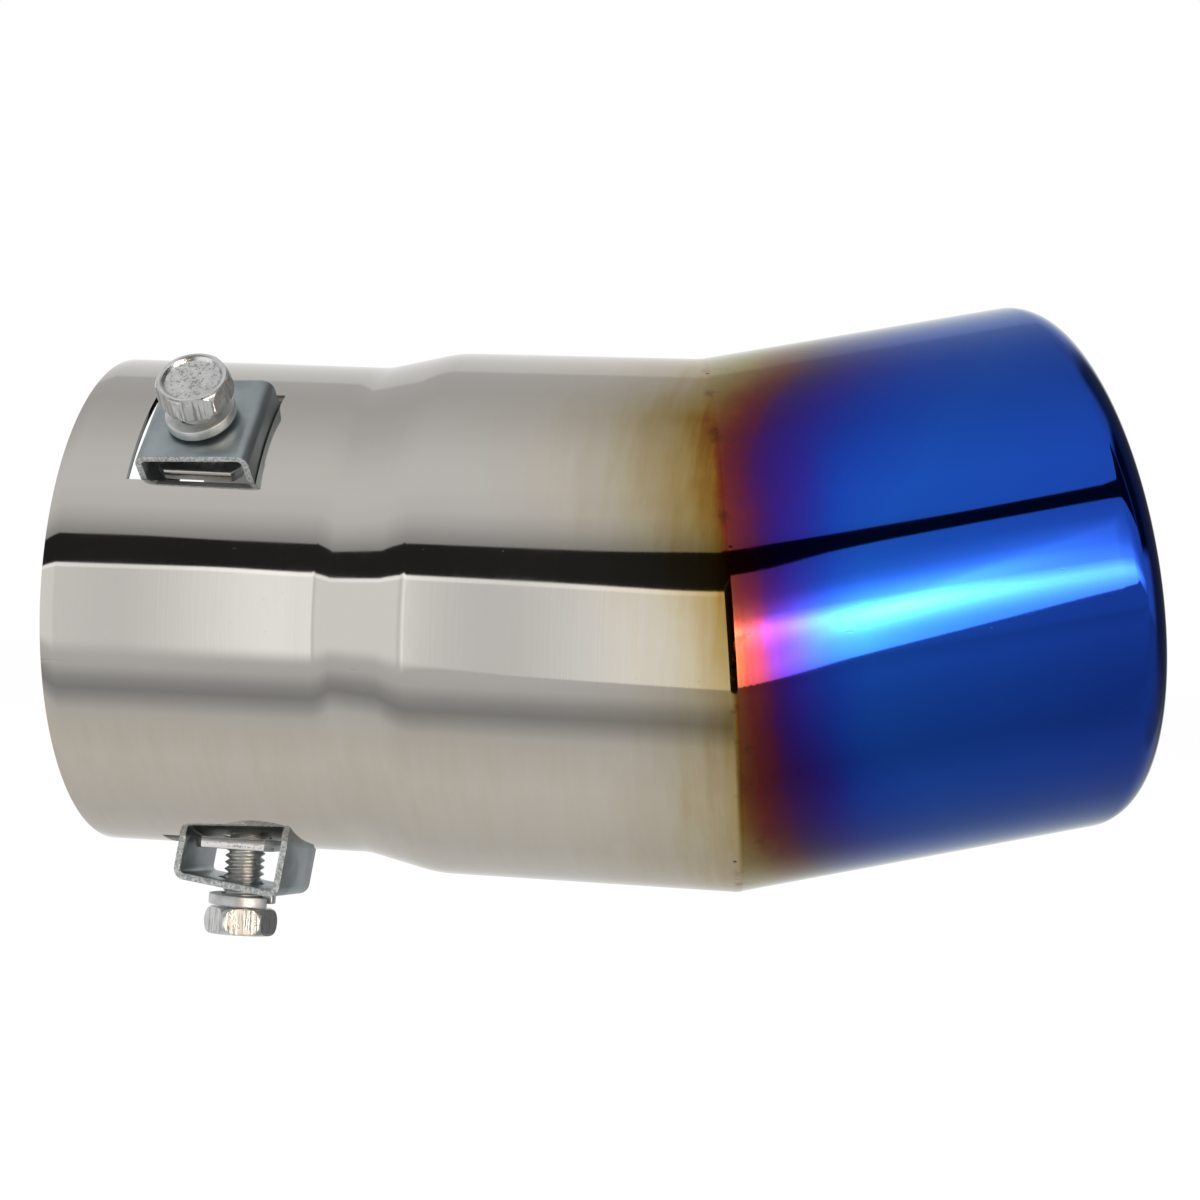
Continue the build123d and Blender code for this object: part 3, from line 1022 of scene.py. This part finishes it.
# Brightness of the light in front by the angle across, and of the bright spot in it
LIGHT_BY_SIDE = (
    (-24, 0.94), (-21.6, 0.84), (-20.3, 0.78), (-19.5, 0.86), (-18.6, 1.0), (-17.7, 1.13), (-16.8, 1.22),
    (-15.8, 1.03), (-14.9, 0.94), (-14, 0.8), (-13.3, 0.76), (-12.5, 0.77), (-11.6, 0.86), (-10.7, 0.98),
    (-9.8, 1.05), (-8, 1.14), (0, 1.1), (20, 0.78), (60, 0.75),
)
SPOT_BY_SIDE = (
    (18, 0.0), (26, 0.12), (30, 0.2), (31, 0.27), (32.4, 0.4), (33, 0.46), (34, 0.6), (34.8, 0.72),
    (35.6, 1.0), (36.4, 0.85), (37.7, 0.57), (38.7, 0.46), (39.8, 0.4), (43, 0.33), (50, 0.2), (60, 0.1),
    (74, 0.0),
)
SPOT_BY_RISE = (
    (-40, 0.0), (-24, 0.14), (-16, 0.24), (-12, 0.27), (-9, 0.32), (-6, 0.44), (-3, 0.64), (0, 0.92),
    (2.5, 0.95), (5, 0.6), (8, 0.27), (12, 0.18), (16, 0.09), (20, 0.05), (28, 0.01), (34, 0.0),
)
SPOT_POWER = 23.0
SPOT_TINT = (1.5, 1.25, 1.0)
# Top and foot of the dark card and foot of the light under it, as up by across on a plane in front
CARD_TOP = (
    (-0.6, 0.575), (-0.457, 0.578), (-0.42, 0.589), (-0.378, 0.572), (-0.213, 0.568), (-0.169, 0.6),
    (0.516, 0.772), (0.563, 0.78), (0.643, 0.808), (0.71, 0.853), (0.745, 0.884), (1.0, 1.1), (1.6, 2.2),
    (3.0, 4.0),
)
CARD_FOOT = (
    (-0.6, 0.29), (-0.412, 0.292), (-0.343, 0.308), (-0.307, 0.293), (-0.221, 0.278), (-0.162, 0.254),
    (0.4, 0.45), (0.559, 0.52), (0.569, 0.559), (0.581, 0.59), (0.608, 0.623), (0.668, 0.661), (0.745, 0.7),
    (1.0, 0.8), (3.0, 1.1),
)
LIGHT_FOOT = (
    (-0.6, -0.42), (-0.274, -0.42), (-0.248, -0.455), (-0.202, -0.476), (-0.157, -0.493), (0.5, -0.5),
    (0.786, -0.462), (0.8, -0.408), (0.804, -0.371), (0.822, -0.328), (0.871, -0.228), (0.899, -0.165),
    (0.923, -0.13), (1.3, -0.05), (3.0, -0.2),
)
# Brightness of the card, of the gap in the light and of the dark behind the outlet
CARD_LEVEL = 0.02
BEHIND_LEVEL = 0.1
# Where the front of the room ends, on the Y of a direction, and half the blur of the card's edges
FRONT_END = (-0.32, -0.2)
BLUR = 0.01


class EXHAUST_OT_studio(bpy.types.Operator):
    """Set the camera, the pale floor and the soft light."""

    bl_idname = "exhaust_tip.studio"
    bl_label = "Studio"

    def execute(self, context):
        scene = context.scene
        studio = scene.tip_studio
        scene.view_settings.view_transform = "Standard"
        self.add_camera(scene, studio)
        self.add_floor(studio)
        self.add_lamp(scene, studio)
        self.light_world(scene)
        return {"FINISHED"}

    def add_camera(self, scene, studio):
        """Stands the camera where the photo was taken from."""
        data = bpy.data.cameras.new("photo camera")
        data.lens = studio.lens
        data.sensor_width = studio.sensor
        data.clip_start = studio.nearest
        camera = bpy.data.objects.new("photo camera", data)
        aim = Vector(studio.camera_aim).normalized()
        up = Vector(studio.camera_up)
        up = (up - aim * up.dot(aim)).normalized()
        turn = Matrix((aim.cross(up), up, -aim)).transposed().to_4x4()
        camera.matrix_world = Matrix.Translation(Vector(studio.camera_place)) @ turn
        scene.collection.objects.link(camera)
        scene.camera = camera

    def add_floor(self, studio):
        """Lays a pale floor, which the camera sees as almost plain white, with the part's shadow on it."""
        bm = bmesh.new()
        bmesh.ops.create_grid(bm, x_segments=4, y_segments=4, size=studio.floor_size / 2)
        bmesh.ops.translate(bm, verts=bm.verts, vec=(studio.floor_middle, 0, -studio.floor_drop))
        material = bpy.data.materials.new("pale floor")
        material.use_nodes = True
        tree = material.node_tree
        shader = tree.nodes["Principled BSDF"]
        shader.inputs["Base Color"].default_value = (*studio.pale, 1.0)
        shader.inputs["Roughness"].default_value = 0.9
        shader.inputs["Specular IOR Level"].default_value = 0.0
        plain = Wire(tree, shader.outputs[0])
        seen = plain.node("ShaderNodeLightPath", None, None, "Is Camera Ray")
        white = plain.node("ShaderNodeEmission", None, {"Color": (1.0, 1.0, 1.0, 1.0), "Strength": 1.0})
        both = plain.node("ShaderNodeMixShader", None, {0: seen * studio.floor_glow, 1: plain, 2: white})
        tree.links.new(both.socket, tree.nodes["Material Output"].inputs["Surface"])
        floor = new_object(bm, "floor", [material])
        floor.visible_glossy = False

    def add_lamp(self, scene, studio):
        """Hangs a wide soft lamp over the part, which no metal mirrors."""
        data = bpy.data.lights.new("overhead lamp", "AREA")
        data.shape = "RECTANGLE"
        data.size = studio.lamp_length
        data.size_y = studio.lamp_width
        data.energy = studio.lamp_power
        lamp = bpy.data.objects.new("overhead lamp", data)
        lamp.location = studio.lamp_place
        lamp.visible_glossy = False
        scene.collection.objects.link(lamp)

    def light_world(self, scene):
        """Lights the part evenly from all round, and lets polished metal mirror a studio."""
        world = bpy.data.worlds.new("studio")
        world.use_nodes = True
        scene.world = world
        tree = world.node_tree
        background = tree.nodes["Background"]
        way = Wire(tree, tree.nodes.new("ShaderNodeTexCoord").outputs["Generated"])
        x, y, z = way.axes()
        rise = z.math("ARCTAN2", z, -y) * (180 / math.pi)
        side = x.math("ARCSINE", x) * (180 / math.pi)
        level = laid_over(rise.curve(INLET_ROOM), side.step(-4.0, 14.0), rise.curve(OUTLET_ROOM))
        level, spot = self.front_light(level, x, y, z, rise, side)
        level = self.outlet_end(level, x, y, z)
        mirrored = way.node("ShaderNodeLightPath", None, None, "Is Glossy Ray")
        level = laid_over(1.0, mirrored, level)
        spot = spot * mirrored
        parts = {index: level + spot * share for index, share in enumerate(SPOT_TINT)}
        shade = way.node("ShaderNodeCombineColor", None, parts)
        tree.links.new(shade.socket, background.inputs["Color"])
        background.inputs["Strength"].default_value = 1.0

    def front_light(self, level, x, y, z, rise, side):
        """The dark card in front and the long light under it, and the bright spot in that light."""
        front = y.math("MAXIMUM", -y, 0.02)
        across, up = x / front, z / front
        facing = 1 - y.step(*FRONT_END)
        card_top, card_foot, light_foot = (across.curve(line) for line in (CARD_TOP, CARD_FOOT, LIGHT_FOOT))
        past_foot = (up - card_foot).step(-BLUR, BLUR)
        card = (1 - (up - card_top).step(-BLUR, BLUR)) * past_foot * facing
        soft = 0.012 + (1 - side.step(-17.0, -13.0)) * 0.17
        light = (1 - past_foot) * ((up - light_foot) / soft).step(-0.5, 0.5) * facing
        gap = (across + 0.09).step(-0.03, 0.03) * (1 - (across + up * 0.245 - 0.58).step(-0.05, 0.05))
        glow = laid_over(side.curve(LIGHT_BY_SIDE), gap, CARD_LEVEL)
        line = (up - card_foot).step(-0.045, -0.03) * (1 - side.step(-12.0, -2.0)) * 0.3
        spot = side.curve(SPOT_BY_SIDE) * rise.curve(SPOT_BY_RISE) * SPOT_POWER * light * (1 - gap)
        level = laid_over(level, light, glow + line)
        return laid_over(level, card, CARD_LEVEL), spot

    def outlet_end(self, level, x, y, z):
        """The dimmer end of the room that the outlet faces, with one lit band, and the dark behind it."""
        right = x.step(0.6, 0.7) * y.step(*FRONT_END)
        low = 1 - z.step(-0.18, -0.1)
        lit = z.step(-0.18, -0.1) * (1 - z.step(0.14, 0.24))
        end = lit * (0.8 - y.step(-0.25, 0.5) * 0.7) + low * (0.4 - y.step(-0.2, 0.6) * 0.2) + 0.02
        behind = y.step(0.0, 0.3) * x.step(0.2, 0.42) * z.step(-0.45, -0.1)
        return laid_over(laid_over(level, right, end), behind, BEHIND_LEVEL)


class EXHAUST_PT_panel(bpy.types.Panel):
    """Lists the pieces of the exhaust tip."""

    bl_label = "Exhaust Tip"
    bl_idname = "EXHAUST_PT_panel"
    bl_space_type = "VIEW_3D"
    bl_region_type = "UI"
    bl_category = "Exhaust Tip"

    def draw(self, context):
        for operator in OPERATORS:
            self.layout.operator(operator.bl_idname)


OPERATORS = (
    EXHAUST_OT_inlet_tube, EXHAUST_OT_outlet_tube, EXHAUST_OT_weld, EXHAUST_OT_brackets,
    EXHAUST_OT_bolts, EXHAUST_OT_washers, EXHAUST_OT_nut_plates, EXHAUST_OT_studio,
)
GROUPS = {
    "tip_tube": TubeSizes,
    "tip_hardware": HardwareSizes,
    "tip_finish": Finishes,
    "tip_studio": StudioSettings,
}
CLASSES = (*GROUPS.values(), *OPERATORS, EXHAUST_PT_panel)


def register():
    for item in CLASSES:
        bpy.utils.register_class(item)
    for name, group in GROUPS.items():
        setattr(bpy.types.Scene, name, PointerProperty(type=group))


def unregister():
    for name in GROUPS:
        delattr(bpy.types.Scene, name)
    for item in reversed(CLASSES):
        bpy.utils.unregister_class(item)


def main():
    register()
    for name in ("Camera", "Light", "Cube"):
        if name in bpy.data.objects:
            bpy.data.objects.remove(bpy.data.objects[name])
    for operator in OPERATORS:
        group, piece = operator.bl_idname.split(".")
        getattr(getattr(bpy.ops, group), piece)()


if __name__ == "__main__":
    main()
